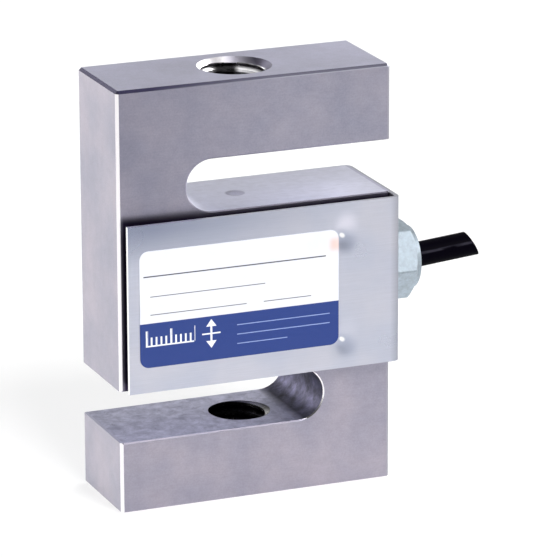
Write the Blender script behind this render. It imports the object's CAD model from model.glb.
"""The s type load cell's looks: its materials, threads, label and cable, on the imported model.

Metres, in the CAD frame: the origin is the centre of the lower threaded hole's mouth in the bottom
face, +Z runs up the load line, +X points the way the cable leaves and -Y carries the label.
The lengths and places named below are in millimetres of that frame, where they don't say metres.
"""
import math

import bmesh
import bpy
from mathutils import Matrix, Vector


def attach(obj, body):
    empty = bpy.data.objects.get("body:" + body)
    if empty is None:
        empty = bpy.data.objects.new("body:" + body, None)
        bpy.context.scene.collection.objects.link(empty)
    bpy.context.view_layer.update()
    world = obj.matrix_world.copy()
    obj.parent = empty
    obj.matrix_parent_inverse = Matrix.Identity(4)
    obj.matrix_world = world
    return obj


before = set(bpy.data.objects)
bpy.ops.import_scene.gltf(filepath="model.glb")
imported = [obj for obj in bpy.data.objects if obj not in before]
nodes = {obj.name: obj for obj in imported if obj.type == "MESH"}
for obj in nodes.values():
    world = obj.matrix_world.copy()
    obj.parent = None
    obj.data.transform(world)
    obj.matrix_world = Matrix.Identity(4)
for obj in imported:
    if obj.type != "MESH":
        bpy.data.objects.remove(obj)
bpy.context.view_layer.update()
MM = 0.001

# --------------------------------------------------------------------------- sizes shared with the part
BLOCK_TOP = 76.2
FOOT_TOP = 13.2
MIDDLE_BOTTOM = 22.6
MIDDLE_TOP = 53.2
HEAD_BOTTOM = 62.6
HALF_WIDTH = 25.4
COLUMN_FACE = 12.7
BORE_RADIUS = 6.0
HEAD_CHAMFER = 0.6
FOOT_CHAMFER = 0.5
THREAD_PITCH = 1.75
THREAD_CREST = 5.08


# --------------------------------------------------------------------------- camera
CAMERA_TURNS = (22.19, 16.81, -0.21)  # yaw, pitch and roll, in degrees
CAMERA_DISTANCE, CAMERA_RIGHT, CAMERA_UP = 783.2, 7.54, -0.52
CAMERA_LENS, CAMERA_SENSOR = 287.9, 36
CAMERA_CLIP = (0.01, 50)  # metres


def add_camera():
    """A long lens from the front left, a little above."""
    yaw, pitch, roll = (math.radians(turn) for turn in CAMERA_TURNS)
    aim = Vector((math.sin(yaw) * math.cos(pitch), math.cos(yaw) * math.cos(pitch), -math.sin(pitch)))
    level = Vector((math.cos(yaw), -math.sin(yaw), 0))
    above = level.cross(aim)
    right = math.cos(roll) * level + math.sin(roll) * above
    up = -math.sin(roll) * level + math.cos(roll) * above
    centre = Vector((0, 0, BLOCK_TOP / 2))
    eye = centre + CAMERA_RIGHT * right + CAMERA_UP * up - CAMERA_DISTANCE * aim
    data = bpy.data.cameras.new("camera")
    data.sensor_width = CAMERA_SENSOR
    data.lens = CAMERA_LENS
    data.clip_start, data.clip_end = CAMERA_CLIP
    camera = bpy.data.objects.new("camera", data)
    turn = Matrix((right, up, -aim)).transposed().to_4x4()
    camera.matrix_world = Matrix.Translation(eye * MM) @ turn
    bpy.context.scene.collection.objects.link(camera)
    bpy.context.scene.camera = camera


# --------------------------------------------------------------------------- node helper
NOISE_LOW, NOISE_HIGH = 0.3, 0.7  # where most of a noise texture's values lie


class Net:
    """Short names for building one shader's nodes. A value is a number, a tuple or a socket, and a
    mask is a value that is 1 in one place and 0 elsewhere."""

    def __init__(self, owner):
        owner.use_nodes = True
        self.tree = owner.node_tree

    def add(self, kind, **settings):
        node = self.tree.nodes.new("ShaderNode" + kind)
        for name, value in settings.items():
            setattr(node, name, value)
        return node

    def feed(self, socket, value):
        if isinstance(value, bpy.types.NodeSocket):
            self.tree.links.new(value, socket)
        else:
            socket.default_value = value

    # numbers and masks
    def math(self, operation, *values):
        node = self.add("Math", operation=operation)
        for socket, value in zip(node.inputs, values):
            self.feed(socket, value)
        return node.outputs[0]

    def plus(self, a, b):
        return self.math("ADD", a, b)

    def minus(self, a, b):
        return self.math("SUBTRACT", a, b)

    def times(self, a, b):
        return self.math("MULTIPLY", a, b)

    def size(self, value):
        return self.math("ABSOLUTE", value)

    def length(self, a, b):
        """How far the point (a, b) is from the origin."""
        return self.math("SQRT", self.plus(self.times(a, a), self.times(b, b)))

    def span(self, value, low, high, to_low=0.0, to_high=1.0, smooth=False):
        """value's place between low and high, as a number from to_low to to_high."""
        node = self.add("MapRange", interpolation_type="SMOOTHSTEP" if smooth else "LINEAR")
        for name, number in zip(("Value", "From Min", "From Max", "To Min", "To Max"),
                                (value, low, high, to_low, to_high)):
            self.feed(node.inputs[name], number)
        return node.outputs["Result"]

    def over(self, value, low, high):
        """1 where value is over high, 0 where it is under low."""
        return self.span(value, low, high)

    def under(self, value, low, high, smooth=False):
        """1 where value is under low, 0 where it is over high."""
        return self.span(value, low, high, 1.0, 0.0, smooth)

    def band(self, value, low, high, soft=0.05):
        """1 where value is between low and high, 0 outside."""
        return self.times(self.over(value, low - soft, low + soft), self.under(value, high - soft, high + soft))

    def both(self, *masks):
        """1 where every mask is 1."""
        result = masks[0]
        for mask in masks[1:]:
            result = self.times(result, mask)
        return result

    def either(self, *masks):
        """The largest of the masks."""
        result = masks[0]
        for mask in masks[1:]:
            result = self.math("MAXIMUM", result, mask)
        return result

    def outside(self, mask):
        """1 where the mask is 0."""
        return self.minus(1.0, mask)

    def blend(self, factor, a, b):
        """A number between a and b."""
        node = self.add("Mix", data_type="FLOAT")
        for socket, value in zip((node.inputs[0], node.inputs[2], node.inputs[3]), (factor, a, b)):
            self.feed(socket, value)
        return node.outputs[0]

    def vary(self, noise, low, high):
        """A noise's value as a number from low to high."""
        return self.span(noise, NOISE_LOW, NOISE_HIGH, low, high)

    # colours
    def mix(self, factor, a, b):
        """A colour or a vector between a and b."""
        node = self.add("Mix", data_type="RGBA")
        self.feed(node.inputs["Factor"], factor)
        for socket, value in ((node.inputs[6], a), (node.inputs[7], b)):
            self.feed(socket, (*value, 1.0) if isinstance(value, tuple) else value)
        return node.outputs[2]

    def tone(self, color, factor):
        """color times factor, which is a number or a tint."""
        node = self.add("Mix", data_type="RGBA", blend_type="MULTIPLY")
        node.inputs["Factor"].default_value = 1.0
        self.feed(node.inputs[6], (*color, 1.0) if isinstance(color, tuple) else color)
        self.feed(node.inputs[7], factor)
        return node.outputs[2]

    # vectors and textures
    def place(self):
        """The point on the piece, in millimetres of the CAD frame."""
        node = self.add("VectorMath", operation="SCALE")
        self.feed(node.inputs[0], self.add("TexCoord").outputs["Object"])
        node.inputs["Scale"].default_value = 1 / MM
        return node.outputs[0]

    def normal(self):
        """The surface's own normal."""
        return self.add("NewGeometry").outputs["Normal"]

    def split(self, vector):
        node = self.add("SeparateXYZ")
        self.feed(node.inputs[0], vector)
        return node.outputs["X"], node.outputs["Y"], node.outputs["Z"]

    def unit(self, x, y, z):
        """A vector of length 1 along (x, y, z)."""
        node = self.add("CombineXYZ")
        for socket, value in zip(node.inputs, (x, y, z)):
            self.feed(socket, value)
        unit = self.add("VectorMath", operation="NORMALIZE")
        self.feed(unit.inputs[0], node.outputs[0])
        return unit.outputs[0]

    def stretch(self, vector, scale):
        """Each of vector's parts times its own scale."""
        node = self.add("VectorMath", operation="MULTIPLY")
        self.feed(node.inputs[0], vector)
        node.inputs[1].default_value = scale
        return node.outputs[0]

    def noise(self, vector, scale, detail=2.0, roughness=0.5, warp=0.0):
        """Soft random clouds, about scale of them a millimetre."""
        node = self.add("TexNoise")
        self.feed(node.inputs["Vector"], vector)
        names = ("Scale", "Detail", "Roughness", "Distortion")
        for name, value in zip(names, (scale, detail, roughness, warp)):
            node.inputs[name].default_value = value
        return node.outputs["Fac"]

    def cells(self, vector, scale):
        """Distance from the nearest of many scattered points."""
        node = self.add("TexVoronoi")
        self.feed(node.inputs["Vector"], vector)
        node.inputs["Scale"].default_value = scale
        return node.outputs["Distance"]

    def bump(self, height, strength, depth=0.02, normal=None):
        """The normal as height moves it, for a relief of depth millimetres."""
        node = self.add("Bump")
        self.feed(node.inputs["Height"], height)
        node.inputs["Strength"].default_value = strength
        node.inputs["Distance"].default_value = depth * MM
        if normal is not None:
            self.feed(node.inputs["Normal"], normal)
        return node.outputs["Normal"]


# --------------------------------------------------------------------------- floor and light
FLOOR_HALF_SIZE = 6.0  # metres
FLOOR_DROP = 0.02
FLOOR_GREY, FLOOR_GLOW, FLOOR_ROUGH = 0.45, 0.56, 0.9
WORLD_BACK = (-0.35, 0.94)  # the bright side's direction along X and Y
WORLD_FRONT, WORLD_REAR, WORLD_CEILING = 0.15, 1.2, 0.2
WORLD_LOW, WORLD_HIGH = 0.0, 0.6  # the heights, as shares of 1, between which the sky darkens
PART_MIDDLE = (0, 0, 0.04)  # metres
# each light's name, place, size, radiance, aim and spread, in metres and degrees
LIGHTS = (
    ("left softbox", (-1.0, -0.2, 0.3), 0.5, 3.0, PART_MIDDLE, 180),
    ("left rear softbox", (-0.6, 0.9, 0.35), 0.5, 6.0, PART_MIDDLE, 180),
    ("right rear softbox", (0.82, 0.42, 0.41), 0.7, 6.0, PART_MIDDLE, 180),
    ("front softbox", (0.1, -0.75, 0.75), 0.5, 1.15, (0.0, -0.02, 0.0), 38),
)


def add_floor():
    """A pale floor that lights itself a little, so its shadows stay pale too."""
    mesh = bpy.data.meshes.new("floor")
    edge = FLOOR_HALF_SIZE
    corners = [(-edge, -edge, 0), (edge, -edge, 0), (edge, edge, 0), (-edge, edge, 0)]
    mesh.from_pydata(corners, [], [(0, 1, 2, 3)])
    floor = bpy.data.objects.new("floor", mesh)
    floor.location.z = -FLOOR_DROP * MM
    bpy.context.scene.collection.objects.link(floor)
    material = bpy.data.materials.new("floor")
    material.use_nodes = True
    shader = material.node_tree.nodes["Principled BSDF"]
    shader.inputs["Base Color"].default_value = (FLOOR_GREY, FLOOR_GREY, FLOOR_GREY, 1)
    shader.inputs["Roughness"].default_value = FLOOR_ROUGH
    shader.inputs["Specular IOR Level"].default_value = 0.0
    shader.inputs["Emission Color"].default_value = (1.0, 1.0, 1.0, 1)
    shader.inputs["Emission Strength"].default_value = FLOOR_GLOW
    mesh.materials.append(material)


def add_light(name, place, size, radiance, aim, spread):
    """A square soft light, turned towards aim. Its power follows from its size and radiance."""
    data = bpy.data.lights.new(name, "AREA")
    data.size = size
    data.energy = radiance * math.pi * size * size
    data.spread = math.radians(spread)
    light = bpy.data.objects.new(name, data)
    way = Vector(aim) - Vector(place)
    light.matrix_world = Matrix.Translation(place) @ way.to_track_quat("-Z", "Y").to_matrix().to_4x4()
    bpy.context.scene.collection.objects.link(light)
    light.visible_camera = False


def add_world():
    """A studio that is bright behind and to the left near the ground, and dark overhead and in front."""
    world = bpy.data.worlds.new("studio")
    bpy.context.scene.world = world
    net = Net(world)
    x, y, z = net.split(net.add("TexCoord").outputs["Generated"])
    behind = net.plus(net.times(x, WORLD_BACK[0]), net.times(y, WORLD_BACK[1]))
    level = net.span(behind, -1.0, 1.0, WORLD_FRONT, WORLD_REAR, smooth=True)
    height = net.span(z, WORLD_LOW, WORLD_HIGH, 1.0, WORLD_CEILING, smooth=True)
    background = world.node_tree.nodes["Background"]
    net.feed(background.inputs["Strength"], net.times(level, height))
    background.inputs["Color"].default_value = (1.0, 1.0, 1.0, 1)


# --------------------------------------------------------------------------- materials
WHITE = (1.0, 1.0, 1.0)
FRONT_NORMAL = (-0.6, -0.5)  # a front face's normal lies under these along Y


def start_material(name, metallic=0.0):
    """A new material with its node helper and its shader."""
    material = bpy.data.materials.new(name)
    net = Net(material)
    shader = material.node_tree.nodes["Principled BSDF"]
    shader.inputs["Metallic"].default_value = metallic
    return material, net, shader


def speckled(name, color, roughness, metallic=0.0, cloud=0.1, grain=3.0, depth=0.06, bump=0.1,
             stretch=(1, 1, 1), gloss=0.5):
    """An even surface with soft clouds, a fine grain and a slight unevenness of gloss.
    cloud and grain are noise scales a millimetre; depth is how strongly they show."""
    material, net, shader = start_material(name, metallic)
    place = net.place()
    clouds = net.noise(place, cloud, detail=3)
    grains = net.noise(net.stretch(place, stretch), grain, detail=3, roughness=0.6)
    shade = net.plus(net.vary(clouds, 1 - depth, 1 + depth), net.vary(grains, -depth, depth))
    net.feed(shader.inputs["Base Color"], net.tone(color, shade))
    net.feed(shader.inputs["Roughness"], net.vary(clouds, roughness - 0.04, roughness + 0.04))
    net.feed(shader.inputs["Normal"], net.bump(grains, bump))
    shader.inputs["Specular IOR Level"].default_value = gloss
    return material


def dress(node, material):
    """Gives a CAD node its material."""
    slots = nodes[node].data.materials
    if slots:
        for index in range(len(slots)):
            slots[index] = material
    else:
        slots.append(material)


# --------------------------------------------------------------------------- the beam's steel
GROUND_COOL, GROUND_WARM = (0.345, 0.343, 0.43), (0.38, 0.363, 0.435)
GROUND_ROUGH, SLOT_ROUGH, CHAMFER_ROUGH, EDGE_ROUGH = 0.47, 0.5, 0.1, 0.4
LEFT_TINT, LOW_TINT, SIDE_TINT = (0.84, 0.83, 0.84), (1.12, 1.08, 1.05), (1.22, 1.20, 1.13)
TOP_FACE = (0.55, 0.545, 0.67)
UPPER_SLOT = (0.72, 0.725, 0.83)
SLOT_DARK, SLOT_LIGHT = (0.36, 0.36, 0.48), (0.64, 0.64, 0.78)
END_SHADE, END_TINT = (0.05, 0.26), (0.80, 0.76, 1.0)
CHAMFER = (1.0, 0.97, 1.0)
EDGE_SHADE, EDGE_DARK, EDGE_LIGHT = (0.13, 0.12, 0.20), (0.05, 0.045, 0.09), (0.17, 0.165, 0.22)
EDGE_PALE, EDGE_RIGHT = (0.50, 0.50, 0.58), (0.33, 0.33, 0.38)
MOUTH_SHADE, MOUTH_DARK = (0.62, 0.60, 0.70), (0.15, 0.14, 0.19)
COMPOUND = (0.03, 0.02, 0.05)
PIT_RIM_TONE = 0.78
# where those looks lie, along X or Z or out from the holes' axis. A mask rises or falls from a pair's
# first number to its second, or fills what is between the two.
LOWER_SLOT_AT, UPPER_SLOT_AT = (FOOT_TOP - 0.02, MIDDLE_BOTTOM + 0.02), (MIDDLE_TOP - 0.02, HEAD_BOTTOM + 0.02)
FOOT_RIM_AT, HEAD_RIM_AT = (FOOT_TOP - 0.6, FOOT_TOP + 0.1), (MIDDLE_TOP - 0.4, HEAD_BOTTOM + 0.4)
OUTER_SIDE_AT, RIGHT_EDGE_AT = (HALF_WIDTH - 0.6, HALF_WIDTH - 0.55), (HALF_WIDTH - 1.5, HALF_WIDTH - 1.4)
SLOT_END_AT = (COLUMN_FACE - 5.2, COLUMN_FACE - 3.4)
TOP_EDGE_AT, TOP_EDGE_MIDDLE_AT = (75.0, 75.2), (75.75, 75.85)
MOUTH_REACH, MOUTH_HEIGHT = (BORE_RADIUS + 1.0, BORE_RADIUS + 1.2), (70.0, 70.1)
PIT_REACH, PIT_HEIGHT = (2.0, 2.1), (MIDDLE_TOP - 0.5, MIDDLE_TOP + 0.1)
PIT_RIM_REACH, PIT_RIM_ACROSS = (1.1, 1.8), (-0.4, 0.9)
COMPOUND_LEFT, COMPOUND_LOW, COMPOUND_TOP = (-25.1, -24.3), (22.0, 22.6), (MIDDLE_TOP - 1.2, MIDDLE_TOP + 0.6)
COMPOUND_RISE = (-24.0, -9.0, 0.6, 0.1)  # from and to along X, and how much higher it ends at each
LEFT_TINT_AT, LOW_TINT_AT, DARK_EDGE_AT = (-24.0, 6.0), (10.0, 62.0), (-19.0, 6.0)
MOUTH_SHADE_AT, MOUTH_DARK_AT = (0.0, 2.0), (3.4, 5.2)
# how much of a face's normal lies along an axis
LEAN_LOW, LEAN_HIGH = 0.5, 0.55
SQUARE, SIDE, FRONT_OR_BACK = (0.8, 0.9), (0.5, 0.6), (0.3, 0.35)


def beam_masks(net, x, y, z, normal):
    """The places on the beam that have a look of their own, by name."""
    nx, ny, nz = net.split(normal)
    steepest = net.either(*(net.size(part) for part in (nx, ny, nz)))
    outer_side = net.over(net.size(x), *OUTER_SIDE_AT)
    front_or_back = net.over(net.size(ny), *FRONT_OR_BACK)
    within = net.outside(net.either(outer_side, front_or_back))
    lower_slot = net.both(net.band(z, *LOWER_SLOT_AT, 0.01), within)
    upper_slot = net.both(net.band(z, *UPPER_SLOT_AT, 0.01), within)
    slots = net.either(lower_slot, upper_slot)
    chamfer = net.both(net.under(steepest, *SQUARE), net.outside(slots))

    leftwards, rightwards = net.under(nx, -LEAN_HIGH, -LEAN_LOW), net.over(nx, LEAN_LOW, LEAN_HIGH)
    upwards, forwards = net.over(nz, LEAN_LOW, LEAN_HIGH), net.under(ny, -LEAN_HIGH, -LEAN_LOW)
    slot_rims = net.either(net.band(z, *HEAD_RIM_AT), net.band(z, *FOOT_RIM_AT))
    reach = net.length(x, y)
    pit = net.both(net.under(reach, *PIT_REACH), net.band(z, *PIT_HEIGHT, 0.02))
    over_cover = net.minus(z, net.span(x, *COMPOUND_RISE))
    return {
        "side": net.over(net.size(nx), *SIDE),
        "top": net.over(nz, *SQUARE),
        "lower_slot": lower_slot,
        "upper_slot": upper_slot,
        "slots": slots,
        "slot_end": net.over(x, *SLOT_END_AT),
        "chamfer": chamfer,
        "left_edge": net.both(chamfer, upwards, leftwards),
        "front_edge": net.both(chamfer, upwards, forwards, net.over(z, *TOP_EDGE_AT)),
        "right_edge": net.both(chamfer, rightwards, forwards, net.over(x, *RIGHT_EDGE_AT)),
        "slot_edge": net.both(chamfer, slot_rims, net.outside(outer_side)),
        "mouth": net.both(chamfer, net.under(reach, *MOUTH_REACH), net.over(z, *MOUTH_HEIGHT)),
        "pit": pit,
        "pit_rim": net.both(pit, net.band(reach, *PIT_RIM_REACH, 0.25),
                            net.span(x, *PIT_RIM_ACROSS, 1.0, 0.25, smooth=True)),
        "behind_cover": net.both(net.under(ny, *FRONT_NORMAL), net.over(x, *COMPOUND_LEFT),
                                 net.over(z, *COMPOUND_LOW), net.under(over_cover, *COMPOUND_TOP, smooth=True)),
    }


def beam_material():
    """Ground and nickel plated steel: bright chamfers, milled slots, the lower one dark and mottled."""
    material, net, shader = start_material("plated_beam_steel", 1.0)
    place, normal = net.place(), net.normal()
    x, y, z = net.split(place)
    on = beam_masks(net, x, y, z, normal)
    clouds = net.noise(place, 0.11, detail=3)
    fine_clouds = net.noise(place, 0.6, detail=3)
    level_streaks = net.noise(net.stretch(place, (0.12, 3.0, 3.0)), 2.0, detail=3, roughness=0.6)
    upright_streaks = net.noise(net.stretch(place, (3.0, 3.0, 0.12)), 2.0, detail=3, roughness=0.6)
    streaks = net.blend(on["side"], level_streaks, upright_streaks)
    grain = net.noise(place, 3.5, detail=2)
    blotches = net.noise(place, 0.45, detail=6, roughness=0.7, warp=0.4)
    end_blotches = net.noise(place, 0.5, detail=4, roughness=0.7)

    # the ground faces
    shade = net.plus(net.vary(clouds, 0.94, 1.06), net.vary(streaks, -0.03, 0.03))
    shade = net.plus(shade, net.vary(fine_clouds, -0.03, 0.03))
    shade = net.plus(shade, net.vary(grain, -0.05, 0.05))
    high_tint = net.mix(net.over(x, *LEFT_TINT_AT), LEFT_TINT, WHITE)
    front_tint = net.mix(net.over(z, *LOW_TINT_AT), LOW_TINT, high_tint)
    ground = net.mix(net.over(clouds, 0.35, 0.65), GROUND_COOL, GROUND_WARM)
    ground = net.tone(ground, net.mix(on["side"], front_tint, SIDE_TINT))
    ground = net.tone(net.mix(on["top"], ground, TOP_FACE), shade)

    # the milled slots
    specks = net.span(net.cells(place, 1.1), 0.06, 0.16, 0.55, 1.0)
    mottled = net.tone(net.mix(net.over(blotches, 0.35, 0.65), SLOT_DARK, SLOT_LIGHT), specks)
    end_shade = net.tone(END_TINT, net.vary(end_blotches, *END_SHADE))
    mottled = net.tone(mottled, net.mix(on["slot_end"], WHITE, end_shade))
    streaked = net.plus(net.vary(level_streaks, 0.93, 1.04), net.vary(fine_clouds, -0.04, 0.04))
    milled = net.tone(UPPER_SLOT, streaked)

    # the edges, the hole's mouth and the dark compound round the cover
    pale_edge = net.mix(net.over(z, *TOP_EDGE_MIDDLE_AT), EDGE_PALE, EDGE_LIGHT)
    front_edge = net.mix(net.over(x, *DARK_EDGE_AT), EDGE_DARK, pale_edge)
    mouth = net.mix(net.over(x, *MOUTH_SHADE_AT), CHAMFER, MOUTH_SHADE)
    mouth = net.mix(net.over(x, *MOUTH_DARK_AT), mouth, MOUTH_DARK)
    color = ground
    for mask, look in (("lower_slot", mottled), ("upper_slot", milled), ("chamfer", CHAMFER),
                       ("left_edge", EDGE_SHADE), ("front_edge", front_edge), ("right_edge", EDGE_RIGHT),
                       ("mouth", mouth), ("slot_edge", ground), ("behind_cover", COMPOUND)):
        color = net.mix(on[mask], color, look)
    color = net.tone(color, net.span(on["pit_rim"], 0.0, 1.0, 1.0, PIT_RIM_TONE))

    rough = net.vary(clouds, GROUND_ROUGH - 0.03, GROUND_ROUGH + 0.03)
    rough = net.blend(on["slots"], rough, SLOT_ROUGH)
    rough = net.blend(on["chamfer"], rough, CHAMFER_ROUGH)
    soft_edges = net.either(on["mouth"], on["slot_edge"], on["front_edge"], on["right_edge"])
    rough = net.blend(soft_edges, rough, EDGE_ROUGH)
    height = net.plus(net.times(streaks, 0.5), net.times(grain, 0.5))
    height = net.plus(height, net.times(net.times(blotches, 6.0), on["lower_slot"]))
    level_pit = net.mix(on["pit"], normal, (0.0, 0.0, 1.0))
    net.feed(shader.inputs["Base Color"], color)
    net.feed(shader.inputs["Roughness"], rough)
    net.feed(shader.inputs["Normal"], net.bump(height, 0.25, normal=level_pit))
    return material


# --------------------------------------------------------------------------- the threads' steel
THREAD_ROOT, THREAD_TOP = (0.16, 0.155, 0.17), (0.83, 0.82, 0.83)
THREAD_MIDDLE, THREAD_MIDDLE_TONE = (-1.6, 2.2), 0.25  # the upper hole's dark middle, along X
UPPER_HOLE = (40.0, 41.0)
# from and to along X, and the value at each
HEAD_TONES, FOOT_TONES, CREST_METALLIC = (-3.0, 2.0, 0.8, 1.15), (0.5, 4.5, 0.12, 0.4), (1.8, 2.6, 1.0, 0.1)


def bore_material():
    """The threads: bare cut steel, dark with oil between the crests and in the lower hole."""
    material, net, shader = start_material("thread_steel", 1.0)
    place = net.place()
    x, y, z = net.split(place)
    crest = net.under(net.length(x, y), THREAD_CREST + 0.15, BORE_RADIUS - 0.1)
    stain = net.noise(net.stretch(place, (1.0, 1.0, 0.3)), 0.8, detail=3)
    steel = net.tone(net.mix(crest, THREAD_ROOT, THREAD_TOP), net.vary(stain, 0.8, 1.1))
    in_head = net.over(z, *UPPER_HOLE)
    middle = net.span(net.band(x, *THREAD_MIDDLE, 0.5), 0.0, 1.0, 1.0, THREAD_MIDDLE_TONE)
    tone = net.blend(in_head, net.span(x, *FOOT_TONES), net.times(net.span(x, *HEAD_TONES), middle))
    metallic = net.blend(net.both(crest, in_head), 1.0, net.span(x, *CREST_METALLIC))
    net.feed(shader.inputs["Base Color"], net.tone(steel, tone))
    net.feed(shader.inputs["Metallic"], metallic)
    net.feed(shader.inputs["Roughness"], net.vary(stain, 0.18, 0.28))
    return material


# --------------------------------------------------------------------------- the cover's sheet
COVER_COOL, COVER_WARM, COVER_ROUGH = (0.53, 0.55, 0.645), (0.56, 0.565, 0.64), 0.3
COVER_SHADE, COVER_SHADE_ACROSS, COVER_SHADE_UP = (0.265, 0.29, 0.385), (-20.0, 16.0), (45.5, 52.0)
COVER_BEND = (24.2, 26.2, 1.0, 0.62)  # from and to along X, and the tone at each
COVER_END_NORMAL = (-0.95, -0.9)  # the sheet's cut ends, along X
# each dent's centre along X and Z, and the strength of each of its spots
DENTS = ((15.3, 46.9, 0.75, 0.5, 1.0), (15.3, 27.9, 0.2, 0.5, 1.0))
DENT_START, DENT_STEEPEST, DENT_REACH, DENT_LEAN = 0.3, 1.7, 4.2, 0.12
# light above a dent, shade below it and the bright point in it: offset along X and Z, and two radii
DENT_SPOTS = ((0.6, 2.4, 0.3, 3.0), (0.7, -1.3, 0.6, 2.6), (0.5, -0.35, 0.2, 0.55))
DENT_TINTS = ((0.72, 0.71, 0.80), (0.36, 0.40, 0.53), WHITE)


def dent_lean(net, x, z, across, up):
    """How far a smooth round dent at (across, up) leans the front sheet's normal along X and along Z."""
    aside, above = net.minus(x, across), net.minus(z, up)
    reach = net.length(aside, above)
    lean = net.times(net.span(reach, DENT_START, DENT_STEEPEST, smooth=True),
                     net.span(reach, DENT_STEEPEST, DENT_REACH, -DENT_LEAN, 0.0, smooth=True))
    share = net.math("DIVIDE", lean, net.math("MAXIMUM", reach, 0.01))
    return net.times(share, aside), net.times(share, above)


def dent_spot(net, x, z, across, up, strength, spot):
    """A soft round spot of a dent at (across, up)."""
    aside, above, inner, outer = spot
    reach = net.length(net.minus(x, across + aside), net.minus(z, up + above))
    return net.span(reach, inner, outer, strength, 0.0, smooth=True)


def cover_material():
    """Cold rolled sheet: a soft gloss with fine level rolling lines, clouds and two smooth dents."""
    material, net, shader = start_material("cover_steel", 1.0)
    place, normal = net.place(), net.normal()
    x, _, z = net.split(place)
    nx, ny, _ = net.split(normal)
    lines = net.noise(net.stretch(place, (0.06, 0.06, 2.0)), 2.5, detail=3, roughness=0.6)
    clouds = net.noise(place, 0.09, detail=3)
    grain = net.noise(place, 6.0, detail=2)
    shade = net.plus(net.vary(clouds, 0.96, 1.04), net.vary(lines, -0.035, 0.035))
    shade = net.plus(shade, net.vary(grain, -0.012, 0.012))
    front = net.under(ny, *FRONT_NORMAL)
    upper_left = net.both(front, net.under(x, *COVER_SHADE_ACROSS), net.over(z, *COVER_SHADE_UP))
    cut_end = net.under(nx, *COVER_END_NORMAL)
    color = net.tone(net.mix(net.over(clouds, 0.4, 0.6), COVER_COOL, COVER_WARM), shade)
    color = net.mix(upper_left, color, COVER_SHADE)
    color = net.tone(color, net.span(x, *COVER_BEND))
    color = net.mix(cut_end, color, WHITE)

    spots = [[dent_spot(net, x, z, across, up, strength, spot)
              for strength, spot in zip(strengths, DENT_SPOTS)] for across, up, *strengths in DENTS]
    for pair, tint in zip(zip(*spots), DENT_TINTS):
        color = net.mix(net.both(front, net.either(*pair)), color, tint)
    leans = [dent_lean(net, x, z, across, up) for across, up, *_ in DENTS]
    lean_x, lean_z = (net.plus(*parts) for parts in zip(*leans))
    shaped = net.mix(front, normal, net.unit(lean_x, -1.0, lean_z))
    net.feed(shader.inputs["Base Color"], color)
    net.feed(shader.inputs["Roughness"], net.vary(clouds, COVER_ROUGH - 0.03, COVER_ROUGH + 0.03))
    net.feed(shader.inputs["Normal"], net.bump(net.plus(lines, grain), 0.12, normal=shaped))
    return material


# --------------------------------------------------------------------------- the label's print
PAPER, RULE_INK, SMUDGE = (0.76, 0.775, 0.835), (0.055, 0.055, 0.075), (0.95, 0.42, 0.3)
BAND_BLUE, BAND_PALE, BAND_WHITE = (0.009, 0.035, 0.20), (0.25, 0.33, 0.62), (0.85, 0.87, 0.92)
BAND_TOP = (35.40, 35.46)
PRINT_SOFTNESS = 0.03
SMUDGE_PLACE, SMUDGE_WIDTH, SMUDGE_HEIGHT = (13.6, 45.7), (0.2, 1.6), (0.3, 1.9)
SMUDGE_STRENGTH = 0.55
# boxes: from and to along X, then from and to along Z
RULES = ((-22.0, 11.9, 43.7, 43.92), (-20.8, 0.5, 40.1, 40.24), (-20.8, -3.0, 36.85, 36.99),
         (0.2, 9.1, 36.85, 36.99))
PALE_LINES = ((-4.8, 12.6, 33.2, 33.36), (-4.8, 12.6, 31.5, 31.66), (-4.8, 4.6, 29.8, 29.96))
SCALE_LINE = (-21.7, -12.8, 31.2, 31.45)
ARROW_BARS = ((-9.78, -9.42, 30.9, 33.7), (-11.3, -7.9, 32.17, 32.43))
# the tick scale's two rows: step, then from and to along Z
SCALE_ENDS, TICK_WIDTH, TICK_ROWS = (-21.7, -12.6), 0.32, ((0.9, 31.4, 32.9), (4.5, 31.4, 34.1))
# the double arrow's place along X, half its width, and each head's tip and base along Z
ARROW_PLACE, ARROW_HALF, ARROW_HEADS = -9.6, 0.95, ((34.9, 33.6), (29.7, 31.0))


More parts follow.
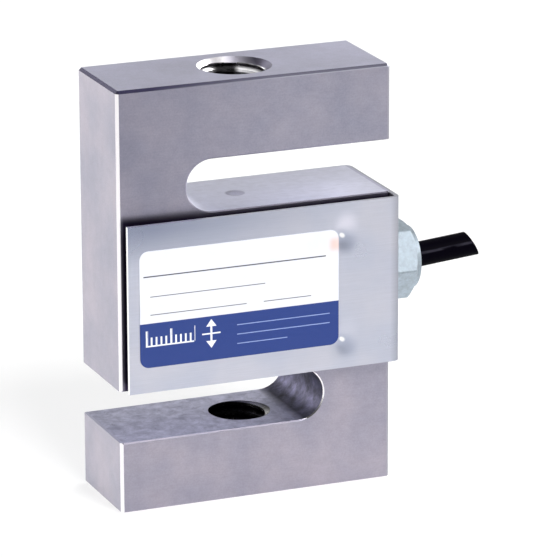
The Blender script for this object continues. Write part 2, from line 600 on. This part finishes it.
def label_material():
    """Printed film: a white field with rule lines over a blue band with plain ticks, arrows and lines."""
    material, net, shader = start_material("printed_label")
    place = net.place()
    x, _, z = net.split(place)

    def box(x0, x1, z0, z1):
        return net.both(net.band(x, x0, x1, PRINT_SOFTNESS), net.band(z, z0, z1, PRINT_SOFTNESS))

    def ticks(step, z0, z1):
        """Upright ticks all along the scale."""
        phase = net.math("FRACT", net.math("DIVIDE", net.minus(x, SCALE_ENDS[0]), step))
        share = TICK_WIDTH / step
        return net.both(box(*SCALE_ENDS, z0, z1), net.under(phase, share - 0.04, share + 0.04))

    def arrow(tip, base):
        """A triangle with its tip at height tip and its base at height base."""
        lean = net.times(net.over(z, tip, base), ARROW_HALF)
        aside = net.size(net.minus(x, ARROW_PLACE))
        inside = net.over(net.minus(lean, aside), -PRINT_SOFTNESS, PRINT_SOFTNESS)
        return net.both(net.band(z, min(tip, base), max(tip, base), 0.02), inside)

    rules = net.either(*(box(*rule) for rule in RULES))
    pale = net.either(*(box(*line) for line in PALE_LINES))
    white = net.either(*(ticks(*row) for row in TICK_ROWS), box(*SCALE_LINE),
                       *(arrow(*head) for head in ARROW_HEADS), *(box(*bar) for bar in ARROW_BARS))
    ink = net.noise(place, 9.0, detail=2)
    clouds = net.noise(place, 0.25, detail=2)
    aside, above = (net.size(net.minus(part, middle)) for part, middle in zip((x, z), SMUDGE_PLACE))
    smudge = net.both(net.under(aside, *SMUDGE_WIDTH, smooth=True),
                      net.span(above, *SMUDGE_HEIGHT, SMUDGE_STRENGTH, 0.0, smooth=True))
    paper = net.mix(smudge, net.tone(PAPER, net.vary(clouds, 0.97, 1.03)), SMUDGE)
    paper = net.mix(rules, paper, RULE_INK)
    blue = net.mix(pale, net.tone(BAND_BLUE, net.vary(ink, 0.9, 1.1)), BAND_PALE)
    blue = net.mix(white, blue, BAND_WHITE)
    net.feed(shader.inputs["Base Color"], net.mix(net.under(z, *BAND_TOP), paper, blue))
    net.feed(shader.inputs["Roughness"], net.vary(clouds, 0.38, 0.46))
    net.feed(shader.inputs["Normal"], net.bump(net.plus(ink, net.times(clouds, 3.0)), 0.05))
    return material


# --------------------------------------------------------------------------- gland and cable
GLAND = (0.38, 0.435, 0.485)
GLAND_UNDERSIDE = (-0.6, -0.3, 1.22, 1.0)  # from and to along the normal's Z, and the tone at each
JACKET, JACKET_WORN = (0.0012, 0.0008, 0.003), (0.03, 0.028, 0.04)
JACKET_FRONT, JACKET_STREAK = (-0.93, 0.36), (0.985, 0.999)  # the worn streak's way in Y and Z, its limits
JACKET_ROUGH, JACKET_GLOSS = 0.5, 0.015
BRAID, BRAID_ROUGH = (0.72, 0.68, 0.62), 0.35
BRAID_STRANDS, BRAID_PITCH = 16.0, 7.0  # turns of the pattern round the cable, radians a millimetre along it


def gland_material():
    """Bright zinc plate with a frosted, mottled crystal."""
    material, net, shader = start_material("gland_steel", 1.0)
    place = net.place()
    _, _, nz = net.split(net.normal())
    frost = net.noise(place, 1.1, detail=5, roughness=0.75)
    clouds = net.noise(place, 0.3, detail=2)
    shade = net.plus(net.span(frost, 0.35, 0.65, 0.8, 1.15), net.vary(clouds, -0.05, 0.05))
    shade = net.times(shade, net.span(nz, *GLAND_UNDERSIDE))
    net.feed(shader.inputs["Base Color"], net.tone(GLAND, shade))
    net.feed(shader.inputs["Roughness"], net.vary(frost, 0.5, 0.65))
    net.feed(shader.inputs["Normal"], net.bump(frost, 0.3, depth=0.05))
    return material


def jacket_material():
    """Black rubber with a faint worn streak along its front."""
    material, net, shader = start_material("cable_jacket_rubber")
    place = net.place()
    _, ny, nz = net.split(net.normal())
    front = net.plus(net.times(ny, JACKET_FRONT[0]), net.times(nz, JACKET_FRONT[1]))
    worn = net.noise(net.stretch(place, (0.25, 1.0, 1.0)), 1.6, detail=3)
    streak = net.both(net.span(front, *JACKET_STREAK, smooth=True), net.over(worn, 0.3, 0.6))
    net.feed(shader.inputs["Base Color"], net.mix(streak, JACKET, JACKET_WORN))
    net.feed(shader.inputs["Normal"], net.bump(net.noise(place, 4.0), 0.1))
    shader.inputs["Roughness"].default_value = JACKET_ROUGH
    shader.inputs["Specular IOR Level"].default_value = JACKET_GLOSS
    return material


def braid_material():
    """Tinned copper braid: two crossing sets of fine strands round the cable."""
    material, net, shader = start_material("shield_braid", 1.0)
    x, y, z = net.split(net.place())
    turn = net.times(net.math("ARCTAN2", y, net.minus(z, BLOCK_TOP / 2)), BRAID_STRANDS)
    along = net.times(x, BRAID_PITCH)
    weave = net.either(net.math("SINE", net.plus(turn, along)), net.math("SINE", net.minus(turn, along)))
    net.feed(shader.inputs["Base Color"], net.tone(BRAID, net.span(weave, -0.2, 1.0, 0.45, 1.0)))
    net.feed(shader.inputs["Normal"], net.bump(weave, 0.5, depth=0.05))
    shader.inputs["Roughness"].default_value = BRAID_ROUGH
    return material


# --------------------------------------------------------------------------- threads
THREAD_STEPS, THREAD_ROWS = 96, 16  # points round the hole, and points a pitch
THREAD_FLAT, THREAD_FLANK = 0.25, 0.3125  # the crest's and a flank's shares of the pitch
RING_GAP = 0.05
END_GAP = 0.005
WELD, SLIVER = 0.002, 0.001
SHARP = 30  # degrees
CONE_MARGIN, CONE_NORMAL, END_NORMAL = 0.4, 0.6, 0.99


def thread_radius(height, turn):
    """The 60 degree thread's radius at a height and at a share of a turn."""
    phase = (height / THREAD_PITCH - turn) % 1.0
    if phase < THREAD_FLAT:
        share = 0.0
    elif phase < THREAD_FLAT + THREAD_FLANK:
        share = (phase - THREAD_FLAT) / THREAD_FLANK
    elif phase < 1.0 - THREAD_FLANK:
        share = 1.0
    else:
        share = (1.0 - phase) / THREAD_FLANK
    return THREAD_CREST + share * (BORE_RADIUS - RING_GAP - THREAD_CREST)


def thread_shape(low, high, mouth, cone):
    """A ring of thread turns in a bore from low to high. A 45 degree cone opens it to the radius cone
    at the height mouth, which is one of its ends."""
    count = THREAD_ROWS * (math.ceil((high - low) / THREAD_PITCH) + 2)
    waist = mouth + math.copysign(cone - BORE_RADIUS, (low + high) / 2 - mouth)
    shape = bmesh.new()

    def point(radius, angle, height):
        return shape.verts.new((radius * math.cos(angle) * MM, radius * math.sin(angle) * MM, height * MM))

    columns = []
    for step in range(THREAD_STEPS):
        turn = step / THREAD_STEPS
        angle = math.tau * turn
        inside = []
        for row in range(count):
            rise = (math.floor(low / THREAD_PITCH) - 1 + row / THREAD_ROWS + turn) * THREAD_PITCH
            height = min(max(rise, low), high)
            radius = max(thread_radius(height, turn), cone - RING_GAP - abs(mouth - height))
            inside.append(point(radius, angle, height))
        outside = [point(max(BORE_RADIUS, cone - abs(mouth - height)) - RING_GAP / 2, angle, height)
                   for height in sorted((low, waist, high))]
        columns.append((inside, outside))
    for step in range(THREAD_STEPS):
        here, here_outside = columns[step]
        there, there_outside = columns[(step + 1) % THREAD_STEPS]
        shift = THREAD_ROWS if step == THREAD_STEPS - 1 else 0
        for row in range(count - 1):
            corners = [here[row], here[row + 1], there[min(row + 1 + shift, count - 1)],
                       there[min(row + shift, count - 1)]]
            corners = [corner for index, corner in enumerate(corners) if corner not in corners[:index]]
            if len(corners) > 2:
                shape.faces.new(corners)
        shape.faces.new((here[0], there[0], there_outside[0], here_outside[0]))
        shape.faces.new((here[-1], here_outside[-1], there_outside[-1], there[-1]))
        for level in range(len(here_outside) - 1):
            shape.faces.new((here_outside[level], there_outside[level],
                             there_outside[level + 1], here_outside[level + 1]))
    bmesh.ops.remove_doubles(shape, verts=shape.verts, dist=WELD * MM)
    bmesh.ops.dissolve_degenerate(shape, dist=SLIVER * MM, edges=shape.edges)
    bmesh.ops.recalc_face_normals(shape, faces=shape.faces)
    return shape


def add_thread(name, low, high, mouth, cone, threads, beam):
    """The turns of one threaded hole, in the threads' material, with the cone and ends in the beam's."""
    shape = thread_shape(low, high, mouth, cone)
    mesh = bpy.data.meshes.new(name)
    shape.to_mesh(mesh)
    shape.free()
    mesh.shade_smooth()
    mesh.set_sharp_from_angle(angle=math.radians(SHARP))
    mesh.materials.append(threads)
    mesh.materials.append(beam)
    for face in mesh.polygons:
        near_mouth = abs(face.center.z / MM - mouth) < cone - BORE_RADIUS + CONE_MARGIN
        steep = abs(face.normal.z)
        if steep > END_NORMAL or (near_mouth and steep > CONE_NORMAL):
            face.material_index = 1
    piece = bpy.data.objects.new(name, mesh)
    bpy.context.scene.collection.objects.link(piece)
    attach(piece, "root")


# --------------------------------------------------------------------------- the pieces inside
INSULATION = {"red": (0.45, 0.015, 0.012), "black": (0.008, 0.008, 0.009),
              "green": (0.012, 0.20, 0.05), "white": (0.75, 0.74, 0.70)}


def dress_inside():
    """Plain materials for what the cover, the gland and the cable's jacket hide."""
    for name, color in INSULATION.items():
        dress("core_" + name, speckled(name + "_insulation", color, 0.35, grain=5.0, depth=0.05))
    shared = {
        "sealant": speckled("sealing_compound", (0.006, 0.004, 0.008), 0.8, grain=1.5, depth=0.2, bump=0.4,
                            gloss=0.1),
        "gauge": speckled("gauge_film", (0.30, 0.14, 0.03), 0.35, grain=2.0),
        "leads": speckled("lead_ribbon", (0.70, 0.60, 0.45), 0.3, metallic=1.0, grain=5.0),
    }
    for node in nodes:
        for word, material in shared.items():
            if word in node.split("_"):
                dress(node, material)
    dress("terminal_board", speckled("board_laminate", (0.03, 0.16, 0.05), 0.5, stretch=(4, 1, 1)))
    dress("solder_pads", speckled("solder", (0.66, 0.66, 0.64), 0.3, metallic=1.0))
    for node in ("span_resistor", "balance_resistor"):
        dress(node, speckled("resistor_body_" + node, (0.02, 0.02, 0.022), 0.45))
    dress("core_conductors", speckled("copper", (0.78, 0.36, 0.2), 0.28, metallic=1.0, grain=6.0))
    dress("gland_washer", speckled("washer_brass", (0.72, 0.5, 0.2), 0.35, metallic=1.0, grain=4.0))
    dress("gland_seal", speckled("seal_rubber", (0.012, 0.012, 0.012), 0.6))


# --------------------------------------------------------------------------- the scene
bpy.context.scene.view_settings.view_transform = "Standard"
add_camera()
add_floor()
add_world()
for light in LIGHTS:
    add_light(*light)

thread_steel, beam_steel = bore_material(), beam_material()
add_thread("head_thread", HEAD_BOTTOM + END_GAP, BLOCK_TOP - END_GAP, BLOCK_TOP, BORE_RADIUS + HEAD_CHAMFER,
           thread_steel, beam_steel)
add_thread("foot_thread", END_GAP, FOOT_TOP - END_GAP, 0.0, BORE_RADIUS + FOOT_CHAMFER,
           thread_steel, beam_steel)
dress("load_beam", beam_steel)
dress("cover", cover_material())
dress("label", label_material())
dress("gland_body", gland_material())
dress("cable_jacket", jacket_material())
dress("cable_shield", braid_material())
dress_inside()
